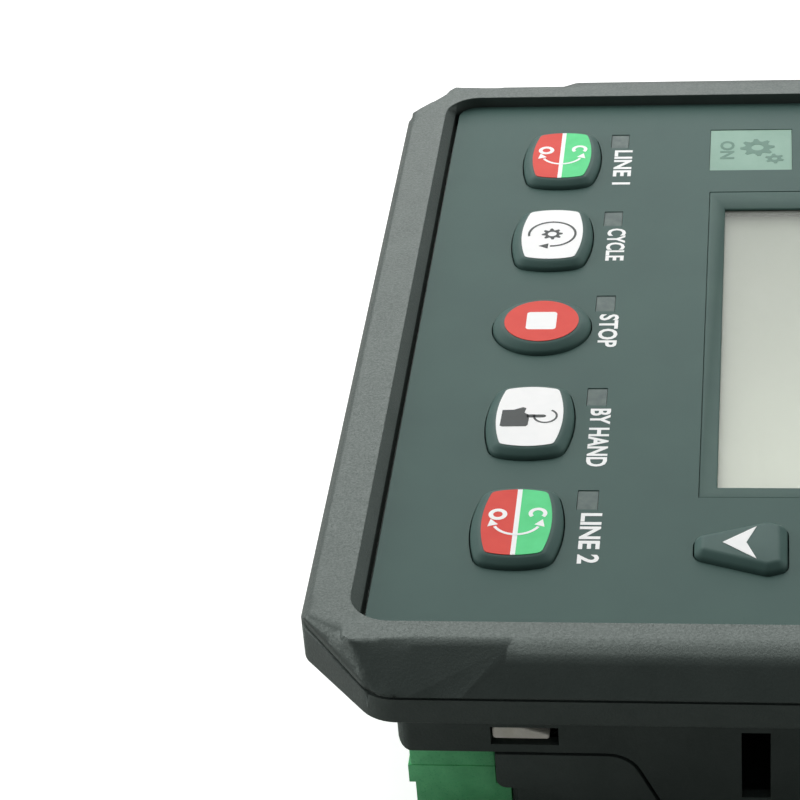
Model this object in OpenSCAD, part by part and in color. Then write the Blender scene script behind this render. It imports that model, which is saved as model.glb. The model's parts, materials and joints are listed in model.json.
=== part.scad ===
// Transfer switch controller for panel mounting, lying on its back with its face up.
// +X is the device's right, +Y is its top and +Z points out of its face.
// Heights inside the modules are counted from the front sheet's face, downwards negative.

/* [Bezel] */
// Width of the front bezel
bezel_w = 245; // [230:1:260]
// Height of the front bezel
bezel_h = 184; // [176:1:200]
// Depth from the bezel's highest face to the back of the case
overall_depth = 51; // [50.5:0.5:60]
// Depth of the sunken front sheet below the bezel's flat border
face_sink = 2.6; // [1.5:0.1:3.2]
// Height of the whole bezel from its back edge to its highest face
flange_depth = 13.4; // [12:0.1:15]
// Corner cut along the width
corner_cut_x = 19.5; // [12:0.5:22]
// Corner cut along the height
corner_cut_y = 16.5; // [12:0.5:19]
// Rounding between the cut corners and the bezel's top and bottom
corner_round = 5; // [1:0.5:6]
// Rounding between the cut corners and the bezel's left and right sides
side_round = 9; // [3:0.5:10]
// Distance from the bezel's top and bottom to the upper tip of each cut corner's facet
corner_facet_in = 11.4; // [11:0.1:14]
// Height of each facet's foot above the bezel's rim, at its border and at its side
facet_up = [1.8, 0.5];
// Distance from the bezel's rim down to the groove that runs round it
groove_below = 0.4; // [0.3:0.05:0.6]
// Width and depth of the groove under the bezel's rim
groove_w = 0.5; // [0.4:0.05:0.7]
// Width of the slope along the left and right sides
flank_run = 9.2; // [7:0.1:11]
// Drop of the slope along the left and right sides
flank_drop = 6.6; // [5:0.1:7.5]
// Drop of the shallow slope along the top and bottom sides
border_drop = 1.6; // [1:0.1:2.5]
// Width of the edge facet along the top and bottom sides
border_edge = 1.5; // [1:0.1:2.5]
// Drop of the edge facet along the top and bottom sides
border_edge_drop = 2.3; // [1.5:0.1:3]
// Half length of the raised middle pad on the left and right sides
pad_half = 48.6; // [40:0.2:52]
// Width of the raised pad's shallow slope
pad_run = 4; // [3:0.1:5]
// Drop of the raised pad's shallow slope
pad_drop = 1; // [0.6:0.1:1.4]
// Height of the raised pad's face above the plain slope at the rim
pad_lip = 0.15; // [0.1:0.05:0.4]
// Length of the slanted facet at each end of the raised pad
pad_toe = 9.7; // [7:0.1:12]

/* [Sunken face] */
// Width of the bezel's border at its left and right
border_x = 15.1; // [13.5:0.1:17]
// Width of the bezel's border at its top and bottom
border_y = 10; // [9:0.1:12]
// Slant of the opening's walls along the top and bottom
recess_slant = 2.05; // [1:0.05:2.6]
// Rounding of the opening's corners
recess_round = 8.5; // [3:0.5:10]
// Thickness of the front sheet
sheet_t = 1.2; // [0.8:0.1:1.5]
// Gap beside the front sheet along the top and bottom
sheet_gap = 1.1; // [0.4:0.1:1.5]
// Gap beside the front sheet at its left and right ends
sheet_end_gap = 0.3; // [0.1:0.1:0.6]
// Rounding of the front sheet's corners
sheet_round = 5; // [2:0.5:6]
// Depth of the dark gap beside the front sheet, below the floor that carries the sheet
gap_depth = 2.5; // [1:0.5:4]
// Thickness of the housing floor behind the front sheet
floor_t = 2; // [1.6:0.1:2.4]

/* [Case] */
// Overhang of the bezel beyond the case at its left and right
overhang_x = 13.5; // [12:0.5:15]
// Overhang of the bezel beyond the case at its top and bottom
overhang_y = 18.1; // [17:0.1:20]
// Wall thickness of the case
wall = 2.5; // [2:0.1:3]
// Distance from the main board's front to the lower edge of the case wall's band
band_below = 3; // [2:0.1:4.5]
// Rounding of the band's lower corners
band_round = 2.8; // [1:0.1:4]
// Half length of the tongue on each side wall, at the band
tongue_half = 24.8; // [22:0.2:30]
// Amount by which the tongue's edges lean inwards at the back
tongue_lean = 7.7; // [6:0.1:14]
// Rounding of the rear cover's corners beside the tongue
tongue_round = 6.5; // [3:0.5:8]
// Width of the seam between the two case halves
seam = 0.7; // [0.4:0.1:1]
// Place of the tongues and clip slots along the height, from the middle
clip_y = -2.3; // [-4:0.1:4]
// Width of each clip slot
clip_slot_w = 5.7; // [5:0.1:7]
// Length of each clip slot
clip_slot_h = 16.9; // [14:0.1:19]
// Distance from the clip slots' upper end down to the main board's front
clip_slot_up = 2.9; // [1:0.1:3.5]
// Length of each side slot
side_slot_w = 13.6; // [10:0.1:16]
// Height of each side slot
side_slot_h = 4.4; // [4:0.1:5]
// Distance from the side slots' upper edge down to the main board's front
side_slot_up = 3.4; // [2.5:0.1:4]
// Distance from the case's bottom and top to the middle of each side slot
side_slot_in = 25.8; // [22:0.1:30]

/* [Rear cover] */
// Distance from the case's bottom and top to the rear cover's sides
cover_shelf = 19.6; // [19:0.1:21]
// Width of the step in the rear cover's sides
cover_set_in = 4.2; // [3:0.1:6]
// Height of the step in the rear cover above its back
cover_step_up = 9.4; // [8:0.1:11]
// Width of the ribs that close the step's ends
end_rib_w = 4; // [3:0.5:6]
// Distance of the end ribs from the case's left and right
end_rib_in = 3; // [3:0.5:6]
// Distance of the cover screws from the case's left and right
cover_screw_x = 13; // [10:0.5:16]
// Distance of the cover screws from the rear cover's sides
cover_screw_y = 14.3; // [12:0.1:18]

/* [Gasket] */
// Width of the channel that holds the panel gasket
channel_w = 7; // [5:0.5:8]
// Depth of the channel that holds the panel gasket
channel_d = 5; // [3:0.5:6]
// Height of the gasket above the bezel's back edge
gasket_proud = 0.8; // [0.4:0.1:1.5]

/* [Keys] */
// Distance between neighbouring keys in the bottom row
key_pitch = 38; // [36:0.5:39]
// Middle of the bottom row along the width
key_row_x = -1.8; // [-4:0.2:0]
// Distance from the front sheet's lower edge to the middle of the bottom row
key_row_in = 27.95; // [26:0.05:30]
// Half length of a printed key face
face_a = 11.15; // [10:0.05:12]
// Half width of a printed key face
face_b = 7.2; // [6.5:0.05:7.6]
// Radius of a key face's long sides
face_side_r = 36; // [30:1:60]
// Radius of a key face's short ends
face_end_r = 17.5; // [15:0.5:30]
// Rounding of a key face's corners
face_round = 1.5; // [1:0.1:2]
// Radius of the round key's printed face
off_face_r = 8.4; // [7.5:0.1:9]
// Side of the square printed on the round key
off_square = 7.2; // [6:0.1:8]
// Height of the keys above the front sheet
key_rise = 2; // [1.4:0.1:2.6]
// Height of a key's upright wall above the front sheet
key_wall = 0.8; // [0.4:0.1:1.2]
// Flat rim of a key around its printed face
key_rim = 0.45; // [0.3:0.05:0.7]
// Width of a key's base beyond its printed face
key_margin = 2.3; // [1.8:0.1:2.6]
// Gap around each key in the front sheet
key_gap = 0.3; // [0.25:0.05:0.5]
// Travel of the keys
key_travel = 0.8; // [0.4:0.1:1]
// Thickness of a key's printed face
print_t = 0.12; // [0.1:0.01:0.2]
// Width of the line across a two-colour key
split_w = 1; // [0.6:0.1:1.4]
// Width of a key's retaining rim below the floor
key_catch = 1.5; // [1.2:0.1:1.8]
// Thickness of a key's retaining rim
key_catch_t = 1; // [0.8:0.1:1.2]
// Clearance between parts that don't touch
clear = 0.3; // [0.2:0.05:0.4]

/* [Arrow keys] */
// Distance from the opening's right edge to the middle of the arrow keys
nav_in = 26.8; // [24:0.1:28]
// Distance from the middle to the widest place of the up and down keys
nav_far = 21.4; // [20.5:0.1:24]
// Radius of the confirming key's flat top
confirm_r = 6.4; // [5:0.1:7]

/* [Windows] */
// Length of an indicator window beside a key
led_w = 6.5; // [5:0.1:7]
// Width of an indicator window beside a key
led_h = 4.2; // [3.4:0.1:5]
// Distance from a key's middle to its indicator window, along the width
led_dx = -10.5; // [-11:0.1:-10]
// Distance from a key's middle to its indicator window, along the height
led_dy = 13.9; // [13.5:0.1:14.5]
// Length of the status window
status_w = 20.3; // [18:0.1:22]
// Height of the status window
status_h = 20; // [18:0.1:22]
// Distance from the opening's left edge to the middle of the status window
status_in = 24; // [20:0.1:26]
// Distance from the middle of the bottom row to the middle of the status window
status_up = 46.4; // [44:0.2:52]
// Width of the display's viewing area
lcd_w = 114; // [108:0.5:115]
// Height of the display's viewing area
lcd_h = 64; // [60:0.5:66]
// Shift of the display's middle from the middle of the space above the small windows
lcd_shift = -0.475; // [-3:0.025:3]
// Width of the slope around the display at its left and right
lcd_slope_x = 5.6; // [4:0.1:6]
// Width of the slope around the display at its top and bottom
lcd_slope_y = 3.7; // [3:0.1:4.5]
// Depth of the display's window below the front sheet's face
lcd_sink = 2.1; // [1.6:0.1:2.3]
// Thickness of the display's window
lens_t = 1; // [0.8:0.1:1.2]
// Thickness of the display glass
glass_t = 2.2; // [1.8:0.1:2.4]

/* [Boards] */
// Thickness of both circuit boards
board_t = 1.6; // [1.2:0.1:2]
// Depth of the display board's front below the front sheet's face
display_board_z = 9.5; // [9.3:0.1:11]
// Height of the main board's front above the case's back
main_board_up = 21.9; // [21:0.1:23]
// Gap between the boards and the case walls
board_gap = 0.6; // [0.4:0.1:1]
// Distance from the case's walls to the posts for the display board
post_in = 8; // [7:0.1:10]
// Diameter of the screws
screw_d = 3; // [2.5:0.1:3.5]
// Clearance between a screw and its hole, in all
screw_play = 0.4; // [0.2:0.1:0.6]
// Diameter of the screw heads
head_d = 5.6; // [5:0.1:6]
// Height of the screw heads
head_t = 2; // [1.6:0.1:2.4]
// Outer diameter of the posts and spacers
post_d = 6.4; // [6:0.1:7]

/* [Terminals] */
// Distance between poles in the lower row
pitch_low = 7.62; // [7:0.01:7.62]
// Distance between poles in the upper row
pitch_up = 5.08; // [4.8:0.01:5.08]
// Thickness of a terminal block's end walls
block_end = 0.6; // [0.4:0.1:0.8]
// Diameter of the screw holes in the lower row's plugs
screw_hole_low = 4.4; // [4:0.1:4.6]
// Diameter of the screw holes in the upper row's plugs
screw_hole_up = 3.4; // [3:0.1:3.6]
// Gap between neighbouring terminal blocks
block_gap = 1.4; // [1:0.1:2]
// Gap between the rear cover and the terminal blocks
block_cover_gap = 0.4; // [0.3:0.1:0.8]
// Height of the joint between sockets and plugs above the case's back
plug_joint_up = 12.4; // [11:0.1:13.5]
// Height of the step in the plugs above the case's back
plug_step_up = 7.9; // [7:0.1:9]
// Height of the plugs above the rest plane
plug_lift = 1; // [0.5:0.1:2]
// Width of the terminal blocks
block_depth = 17.4; // [16:0.1:17.5]
// Height of a wire entry
entry_h = 3.8; // [3:0.1:3.9]
// Depth of a wire entry
entry_d = 7; // [5:0.5:9]
// Distance from the terminal blocks' inner side to their screws
terminal_screw_in = 6.2; // [5:0.1:7]
// Depth of the terminal screws below the plugs' back
terminal_screw_z = 0.6; // [0.4:0.1:1]
// Length of the terminal screws
terminal_screw_l = 2; // [1.5:0.1:2.2]

/* [Inner parts] */
// Length of the transformer
transformer_l = 44; // [38:1:46]
// Width of the transformer
transformer_w = 37; // [30:1:38]
// Height of the transformer
transformer_h = 15.5; // [12:0.5:16.5]
// Length of a relay
relay_l = 19; // [16:0.5:20]
// Width of a relay
relay_w = 16; // [12:0.5:17]
// Height of a relay
relay_h = 15; // [10:0.5:16.5]
// Distance between neighbouring relays
relay_pitch = 22; // [21:0.5:23]
// Diameter of the two large capacitors
capacitor_d = 12.5; // [10:0.5:14]
// Diameter of the two small capacitors
capacitor_small_d = 10; // [8:0.5:11]
// Height of the capacitors
capacitor_h = 16; // [12:0.5:16.5]
// Side of the processor chip
processor_w = 20; // [14:0.5:22]
// Side of the display driver chip
driver_w = 12; // [8:0.5:14]
// Thickness of the chips
chip_t = 1.6; // [1:0.1:2]
// Diameter of the clock cell
cell_d = 20; // [16:0.5:20]
// Height of the clock cell
cell_t = 3.2; // [2:0.1:3.2]
// Length of the link between the boards
link_l = 50.8; // [40:0.1:52]
// Width of the link between the boards
link_w = 5; // [4:0.1:6]

/* [Hidden] */
$fn = 48;

// Gap around parts held in an opening, gap below parts that rest on others, and overrun of cuts
snug = 0.1;
rest_gap = 0.05;
past = 1;

hw = bezel_w / 2;
hh = bezel_h / 2;
recess_w = bezel_w - 2 * border_x;
recess_h = bezel_h - 2 * border_y;
face_z = overall_depth - face_sink;
land = face_sink;
back_z = -face_z;
skirt_z = land - flange_depth;
rim_z = land - flank_drop;
floor_z = -sheet_t - snug;
floor_back = floor_z - floor_t;
case_x = hw - overhang_x;
case_y = hh - overhang_y;
in_x = case_x - wall;
in_y = case_y - wall;
plate_z = back_z + wall;
main_board_z = face_z - main_board_up;
band_depth = main_board_z + band_below;
clip_slot_top = main_board_z - clip_slot_up;
side_slot_top = main_board_z - side_slot_up;
side_slot_y = case_y - side_slot_in;
cover_step = face_z - cover_step_up;
plug_joint = face_z - plug_joint_up;
plug_step = face_z - plug_step_up;
cover_half = case_y - cover_shelf;
cover_low_half = cover_half - cover_set_in;
sheet_y = recess_h / 2 - recess_slant - sheet_gap;

key_row_y = key_row_in - sheet_y;
lcd_y = (key_row_y + led_dy + led_h / 2 + sheet_y) / 2 + lcd_shift;
nav_x = recess_w / 2 - nav_in;
nav_y = lcd_y;
status_x = status_in - recess_w / 2;
status_y = key_row_y + status_up;
// Bottom-row key positions from left to right
row = [for (i = [-2:2]) [key_row_x + i * key_pitch, key_row_y]];
// Arrow key middles and turns: the outline points down at a turn of 0
nav_down = [nav_x, nav_y - nav_far];
nav_up = [nav_x, nav_y + nav_far];
// Flat top of the up and down keys, with its origin where it is widest
nav_top = [[-2, -13.1], [2, -13.1], [6.6, -0.2], [5.7, 2.1], [-5.7, 2.1], [-6.6, -0.2]];
nav_round = 0.7;
nav_slope = 1.7;
// Arrowhead on the arrow keys: tip, wing, notch, wing
arrow_pts = [[0, -9.1], [5.35, -2.35], [0, -4.4], [-5.35, -2.35]];

off_foot_r = off_face_r + key_margin + 0.4;
cap_depth = 1;
cap_joint = 0.2;
cap_edge = 0.01;
stem_inset = 0.5;
catch_z = floor_back - clear;
catch_back = catch_z - key_catch_t;
mat_top = catch_back - key_travel - clear;
lamp_t = 0.8;
lamp_size = [3, 2];
window_sink = 0.15;
status_ledge = 1;
mat_t = 1;
mat_reach = [16, 11];
mat_band = 31;
mat_nav = [9, 33];
dome_r = 3;
dome_hollow = 1.8;

case_lap = 3;
case_round = 3;
// Screw places on the housing's posts, behind the front sheet
posts = [for (sx = [-1, 1], sy = [-1, 0, 1]) [sx * (case_x - post_in), sy * (case_y - post_in)]];
cover_posts = [for (sx = [-1, 1], sy = [-1, 1])
    [sx * (case_x - cover_screw_x), sy * (cover_half - cover_screw_y)]];
pilot_d = screw_d - screw_play;
screw_bite = 4.5;
cover_screw_seat = back_z + wall + head_t;
cover_post_d = post_d + 3;
drive_w = 1;
drive_d = 0.8;
display_board_back = -display_board_z - board_t;
main_board_back = -main_board_z - board_t;
mount_z = main_board_back - rest_gap;

// Display parts, each this much larger all round than the viewing area
glass_margin = 2.9;
frame_window = 0.8;
lens_margin = 2;
surround_rim = 2.5;
surround_back = -lcd_sink - lens_t;
frame_wall = 0.8;
frame_margin = glass_margin + 2 * snug + frame_wall;
frame_front = surround_back - clear;
glass_back = frame_front - frame_wall - glass_t;

sealant_l = 11.4;
sealant_in = 2;
sealant_sunk = 0.5;
sealant_toe = 1.2;
// Places of the inner parts on the main board
link_at = [46.5 - in_x, -10];
link_split = -(display_board_z + board_t + main_board_z) / 2;
transformer_at = [40.5 - in_x, -1.5];
relay_at = [-26.5, cover_low_half - 16.1];
capacitors_at = [[-28, -20], [-10, -20]];
small_capacitors_at = [[6, -20], [20, -20]];
processor_at = [38, -4];
driver_at = [64, -4];
interfaces_at = [[57, -33], [57, -21]];
interface_size = [10, 6];
cell_at = [in_x - 22.5, -20];

block_in = cover_half + block_cover_gap;
socket_set_back = 0.5;
block_out = block_in + block_depth + socket_set_back;
plug_ledge = 1.3;
plug_cover_gap = 1.7;
entry_rib = 0.9;
terminal_screw_y = block_in + terminal_screw_in;
plugs_back = back_z + plug_lift;
count_low = 3;
count_up = 4;
poles_low = pole_count(count_low, pitch_low);
poles_up = pole_count(count_up, pitch_up);

function unit(v) = v / norm(v);
// Points of an arc that rounds corner b between a and c
function fillet(a, b, c, r, n) =
    let (u = unit(a - b), v = unit(c - b), half = acos(u * v) / 2,
        p = b + u * r / tan(half), q = b + v * r / tan(half),
        o = b + unit(u + v) * r / sin(half),
        s = atan2(p.y - o.y, p.x - o.x), e = atan2(q.y - o.y, q.x - o.x),
        t = e - s > 180 ? e - s - 360 : e - s < -180 ? e - s + 360 : e - s)
    [for (i = [0:n]) o + r * [cos(s + t * i / n), sin(s + t * i / n)]];
// Closed outline with each corner rounded by its own radius
function rounded(pts, radii, n = 6) =
    let (k = len(pts))
    [for (i = [0:k - 1]) each (radii[i] > 0
        ? fillet(pts[(i + k - 1) % k], pts[i], pts[(i + 1) % k], radii[i], n) : [pts[i]])];
function same(r, k) = [for (i = [1:k]) r];
// Convex outline moved outwards by m, its points running anticlockwise
function grown(pts, m) =
    let (k = len(pts),
        n = [for (i = [0:k - 1]) let (d = unit(pts[(i + 1) % k] - pts[i])) [d.y, -d.x]])
    [for (i = [0:k - 1]) let (a = n[(i + k - 1) % k], b = n[i]) pts[i] + m * (a + b) / (1 + a * b)];
function box_pts(x, y) = [[-x, -y], [x, -y], [x, y], [-x, y]];
function cut_pts(x, y, cx, cy) = [[-x + cx, -y], [x - cx, -y], [x, -y + cy], [x, y - cy],
    [x - cx, y], [-x + cx, y], [-x, y - cy], [-x, -y + cy]];
// Barrel outline of a key face, m wider all round
function barrel(m) =
    let (rs = face_side_r + m, re = face_end_r + m, rc = face_round + m,
        cs = [0, face_b - face_side_r], ce = [face_a - face_end_r, 0],
        d = norm(ce - cs), u = (ce - cs) / d,
        t = ((rs - rc) * (rs - rc) - (re - rc) * (re - rc) + d * d) / (2 * d),
        h = sqrt((rs - rc) * (rs - rc) - t * t),
        p = cs + t * u + h * [u.y, -u.x],
        as = atan2(p.y - cs.y, p.x - cs.x), ae = atan2(p.y - ce.y, p.x - ce.x),
        q = concat([for (i = [0:4]) ce + re * [cos(ae * i / 5), sin(ae * i / 5)]],
            [for (i = [0:4]) p + rc * [cos(ae + (as - ae) * i / 5), sin(ae + (as - ae) * i / 5)]],
            [for (i = [0:5]) cs + rs * [cos(as + (90 - as) * i / 6), sin(as + (90 - as) * i / 6)]]))
    concat(q, [[0, face_b + m]], [for (i = [len(q) - 1:-1:0]) [-q[i].x, q[i].y]],
        [for (i = [1:len(q) - 1]) [-q[i].x, -q[i].y]], [[0, -face_b - m]],
        [for (i = [len(q) - 1:-1:1]) [q[i].x, -q[i].y]]);
function disc(r) = [for (i = [0:39]) r * [cos(i * 9), sin(i * 9)]];
function nav_pts(m) = rounded(grown(nav_top, m), same(nav_round + m, len(nav_top)), 4);
// Poles that fit in each of a row's blocks, and the width of a block
function pole_count(count, pitch) =
    floor(((2 * in_x + block_gap) / count - block_gap - 2 * block_end) / pitch);
function block_w(pitch, poles) = poles * pitch + 2 * block_end;
// Half width of the side walls' tongue at height z
function tongue_at(z) = tongue_half - tongue_lean * (band_depth + z) / (band_depth + plate_z);
// Height on a slope through a and b at the place t
function along(a, b, t) = a.y + (b.y - a.y) * (t - a.x) / (b.x - a.x);

module at_face() { translate([0, 0, face_z]) children(); }
module slab(z0, z1) { translate([0, 0, z0]) linear_extrude(z1 - z0) children(); }
module yz(x0, x1) { translate([x0, 0, 0]) rotate([90, 0, 90]) linear_extrude(x1 - x0) children(); }
module xz(y0, y1) { translate([0, y1, 0]) rotate([90, 0, 0]) linear_extrude(y1 - y0) children(); }
module block(x0, x1, y0, y1, z0, z1) { translate([x0, y0, z0]) cube([x1 - x0, y1 - y0, z1 - z0]); }
module tube(p, d, z0, z1) { translate([p.x, p.y, z0]) cylinder(d = d, h = z1 - z0); }
module four() { for (a = [0, 1], b = [0, 1]) mirror([a, 0, 0]) mirror([0, b, 0]) children(); }
module sides() { for (a = [0, 1]) mirror([a, 0, 0]) children(); }

// Front housing: bezel, floor and case walls in one moulding
pad_in = [hw - flank_run, land];
pad_out = [hw - flank_run + pad_run, land - pad_drop];
pad_rim = [hw, rim_z];
border_in = [recess_h / 2, land];
border_out = [hh - border_edge, land - border_drop];
border_rim = [hh, land - border_drop - border_edge_drop];
corner_rounds = [for (i = [0:7]) i % 4 < 2 ? corner_round : side_round];

module bezel_form() {
    reach = 6;
    intersection() {
        slab(skirt_z, land + past)
            polygon(rounded(cut_pts(hw, hh, corner_cut_x, corner_cut_y), corner_rounds, 6));
        xz(-hh - past, hh + past) polygon([[-hw - past, skirt_z - past], [hw + past, skirt_z - past],
            [hw + past, along(pad_out, pad_rim, hw + past)], pad_out, pad_in,
            [-pad_in.x, pad_in.y], [-pad_out.x, pad_out.y],
            [-hw - past, along(pad_out, pad_rim, hw + past)]]);
        yz(-hw - past, hw + past) polygon([[-hh - past, skirt_z - past], [hh + past, skirt_z - past],
            [hh + past, along(border_out, border_rim, hh + past)], border_out,
            [border_in.x - reach, along(border_in, border_out, border_in.x - reach)],
            [reach - border_in.x, along(border_in, border_out, border_in.x - reach)],
            [-border_out.x, border_out.y], [-hh - past, along(border_out, border_rim, hh + past)]]);
    }
}

// Cut beside a raised pad, down to the plain slope and back to the slanted facet
module pad_cut() {
    a = [pad_rim.x, pad_half + pad_toe, pad_rim.y - pad_lip];
    b = [pad_in.x, pad_half, pad_in.y];
    c = [pad_out.x, pad_half + 0.4, pad_out.y];
    low = a + (a - b) * 0.2;
    high = b + (b - a) * 0.2;
    top = c + (c - (a + b) / 2) * 4;
    end = hh + pad_toe;
    polyhedron([low, high, top, [low.x, end, low.z], [high.x, end, high.z], [top.x, end, top.z]],
        [[0, 1, 2], [5, 4, 3], [0, 3, 4, 1], [1, 4, 5, 2], [2, 5, 3, 0]]);
}

// Cut above a cut corner: a plane through the rim on both sides of the corner and a point of the border
module corner_facet() {
    a = [hw - corner_cut_x, hh, border_rim.y + facet_up[0]];
    b = [hw, hh - corner_cut_y, rim_z + facet_up[1]];
    c = [pad_in.x, hh - corner_facet_in, land];
    reach = corner_cut_x + corner_cut_y;
    u = unit(b - a) * reach;
    n = unit(cross(c - a, b - a)) * reach / 2;
    v = unit(cross(n, u)) * reach / 2;
    foot = (a + b) / 2;
    quad = [foot - u - v, foot + u - v, foot + u + v, foot - u + v];
    polyhedron(concat(quad, [for (q = quad) q + n]),
        [[0, 1, 2, 3], [7, 6, 5, 4], [0, 4, 5, 1], [1, 5, 6, 2], [2, 6, 7, 3], [3, 7, 4, 0]]);
}

// Fine groove round the bezel, just below its rim on all sides
module rim_groove() {
    deep = 8 * groove_w;
    flat_low = rim_z - groove_below - groove_w;
    border_low = border_rim.y - groove_below - groove_w;
    difference() {
        union() {
            sides() block(hw - deep, hw + past, corner_cut_y - hh, hh - corner_cut_y,
                flat_low, flat_low + groove_w);
            for (a = [0, 1]) mirror([0, a, 0]) block(corner_cut_x - hw, hw - corner_cut_x,
                hh - deep, hh + past, border_low, border_low + groove_w);
            four() hull() {
                tube([hw, hh - corner_cut_y], deep, flat_low, flat_low + groove_w);
                tube([hw - corner_cut_x, hh], deep, border_low, border_low + groove_w);
            }
        }
        slab(skirt_z, land) polygon(rounded(cut_pts(hw - groove_w, hh - groove_w,
            corner_cut_x, corner_cut_y), corner_rounds, 6));
    }
}

module case_form() {
    intersection() {
        slab(plate_z + clear, skirt_z + case_lap)
            polygon(rounded(box_pts(case_x, case_y), same(case_round, 4)));
        yz(-case_x - past, case_x + past) polygon(rounded(
            [[-case_y, skirt_z + case_lap + past], [-case_y, -band_depth],
            [clip_y - tongue_half, -band_depth], [clip_y - tongue_at(plate_z - past), plate_z - past],
            [clip_y + tongue_at(plate_z - past), plate_z - past], [clip_y + tongue_half, -band_depth],
            [case_y, -band_depth], [case_y, skirt_z + case_lap + past]],
            [0, band_round, tongue_round + seam, 0, 0, tongue_round + seam, band_round, 0]));
    }
}

module recess_cut() {
    flat_y = recess_h / 2 - recess_slant;
    intersection() {
        slab(floor_z, land + past)
            polygon(rounded(box_pts(recess_w / 2, recess_h / 2), same(recess_round, 4), 8));
        yz(-hw, hw) polygon([[-flat_y, floor_z - past], [flat_y, floor_z - past], [flat_y, 0],
            [flat_y + recess_slant * 2, land * 2], [-flat_y - recess_slant * 2, land * 2], [-flat_y, 0]]);
    }
}

module sheet_outline() {
    polygon(rounded(box_pts(recess_w / 2 - sheet_end_gap, sheet_y), same(sheet_round, 4), 8));
}

// Dark gap along the front sheet's top and bottom and round its corners
module gap_cut() {
    low = sheet_y - sheet_round;
    slab(floor_z - gap_depth, floor_z + past) difference() {
        intersection() {
            polygon(rounded(box_pts(recess_w / 2, recess_h / 2), same(recess_round, 4), 8));
            for (a = [0, 1]) mirror([0, a]) translate([-hw, low])
                square([2 * hw, recess_h / 2 - recess_slant - low]);
        }
        sheet_outline();
    }
}

channel_in = [case_x + wall, case_y + wall];
channel_cut_out = [13, 11];
channel_cut_in = [6, 5];
module channel_ring(play) {
    difference() {
        polygon(cut_pts(channel_in.x + channel_w - play, channel_in.y + channel_w - play,
            channel_cut_out.x, channel_cut_out.y));
        polygon(cut_pts(channel_in.x + play, channel_in.y + play,
            channel_cut_in.x, channel_cut_in.y));
    }
}

module clip_slots() {
    sides() block(in_x - past, case_x + past, clip_y - clip_slot_w / 2, clip_y + clip_slot_w / 2,
        -clip_slot_top - clip_slot_h, -clip_slot_top);
}

module side_slots() {
    four() block(in_x - past, case_x + past, side_slot_y - side_slot_w / 2, side_slot_y + side_slot_w / 2,
        -side_slot_top - side_slot_h, -side_slot_top);
}

// Openings for the keys, m wider than the keys' bases
module key_holes(m) {
    for (i = [0, 1, 3, 4]) translate(row[i]) polygon(barrel(key_margin + m));
    translate(row[2]) circle(r = off_foot_r + m);
    translate(nav_down) polygon(nav_pts(nav_slope + m));
    translate(nav_up) rotate(180) polygon(nav_pts(nav_slope + m));
    translate([nav_x, nav_y]) circle(r = confirm_r + nav_slope + m);
}

module led_holes(m) {
    for (p = row) translate([p.x + led_dx, p.y + led_dy])
        square([led_w + 2 * m, led_h + 2 * m], center = true);
}

module status_shape(m) {
    translate([status_x, status_y]) square([status_w + 2 * m, status_h + 2 * m], center = true);
}

module display_shape(mx, my) {
    translate([0, lcd_y]) square([lcd_w + 2 * mx, lcd_h + 2 * my], center = true);
}

module front_housing() {
    color("#3c4643") at_face() difference() {
        union() {
            difference() {
                union() { bezel_form(); case_form(); }
                four() pad_cut();
                four() corner_facet();
                rim_groove();
                recess_cut();
                gap_cut();
                slab(plate_z - past, floor_back)
                    polygon(rounded(box_pts(in_x, in_y), same(case_round / 2, 4)));
                slab(skirt_z - past, skirt_z + channel_d) channel_ring(0);
            }
            for (p = posts) tube(p, post_d, -display_board_z, floor_z - past);
        }
        for (p = posts) tube(p, pilot_d, -display_board_z - past, floor_z - past);
        slab(floor_back - past, floor_z + past) {
            key_holes(key_gap);
            led_holes(snug);
            status_shape(-status_ledge);
            display_shape(lcd_slope_x + surround_rim + clear, lcd_slope_y + surround_rim + clear);
        }
        clip_slots();
        side_slots();
    }
}

module front_sheet() {
    color("#5a716d") at_face() difference() {
        slab(-sheet_t, 0) sheet_outline();
        slab(-sheet_t - past, 1) {
            key_holes(key_gap);
            led_holes(snug);
            status_shape(snug);
            display_shape(lcd_slope_x + snug, lcd_slope_y + snug);
        }
    }
}

module panel_gasket() {
    color("#1c1f1f") at_face()
        slab(skirt_z - gasket_proud, skirt_z + channel_d - rest_gap) channel_ring(2 * snug);
}

// Rear cover: a tray with stepped sides that closes the middle of the case
module cover_profile(m, top) {
    step = -cover_step + m;
    polygon(rounded([[-cover_half + m, top], [-cover_half + m, step], [-cover_low_half + m, step],
        [-cover_low_half + m, back_z + m], [cover_low_half - m, back_z + m], [cover_low_half - m, step],
        [cover_half - m, step], [cover_half - m, top]], [0, 2, 0, 1, 1, 0, 2, 0], 4));
}

module rear_cover() {
    top = -band_depth - seam;
    side = seam * 1.2;
    color("#2c3131") at_face() difference() {
        union() {
            difference() {
                yz(-case_x, case_x) cover_profile(0, top + past);
                yz(-in_x, in_x) cover_profile(wall, top + 2 * past);
                yz(-case_x - past, case_x + past) polygon(rounded(
                    [[-case_y, top + 2 * past], [-case_y, top], [clip_y - tongue_at(top) - side, top],
                    [clip_y - tongue_at(plate_z) - side, plate_z],
                    [clip_y + tongue_at(plate_z) + side, plate_z], [clip_y + tongue_at(top) + side, top],
                    [case_y, top], [case_y, top + 2 * past]],
                    [0, 0, tongue_round, 0, 0, tongue_round, 0, 0]));
            }
            four() block(case_x - end_rib_in - end_rib_w, case_x - end_rib_in, cover_low_half - past,
                cover_low_half + plug_cover_gap - clear, back_z, past - cover_step);
            for (p = cover_posts) tube(p, cover_post_d, plate_z - past, mount_z);
        }
        for (p = cover_posts) {
            tube(p, screw_d + screw_play, back_z - past, -main_board_z);
            tube(p, head_d + 2 * clear, back_z - past, cover_screw_seat);
        }
    }
}

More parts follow.
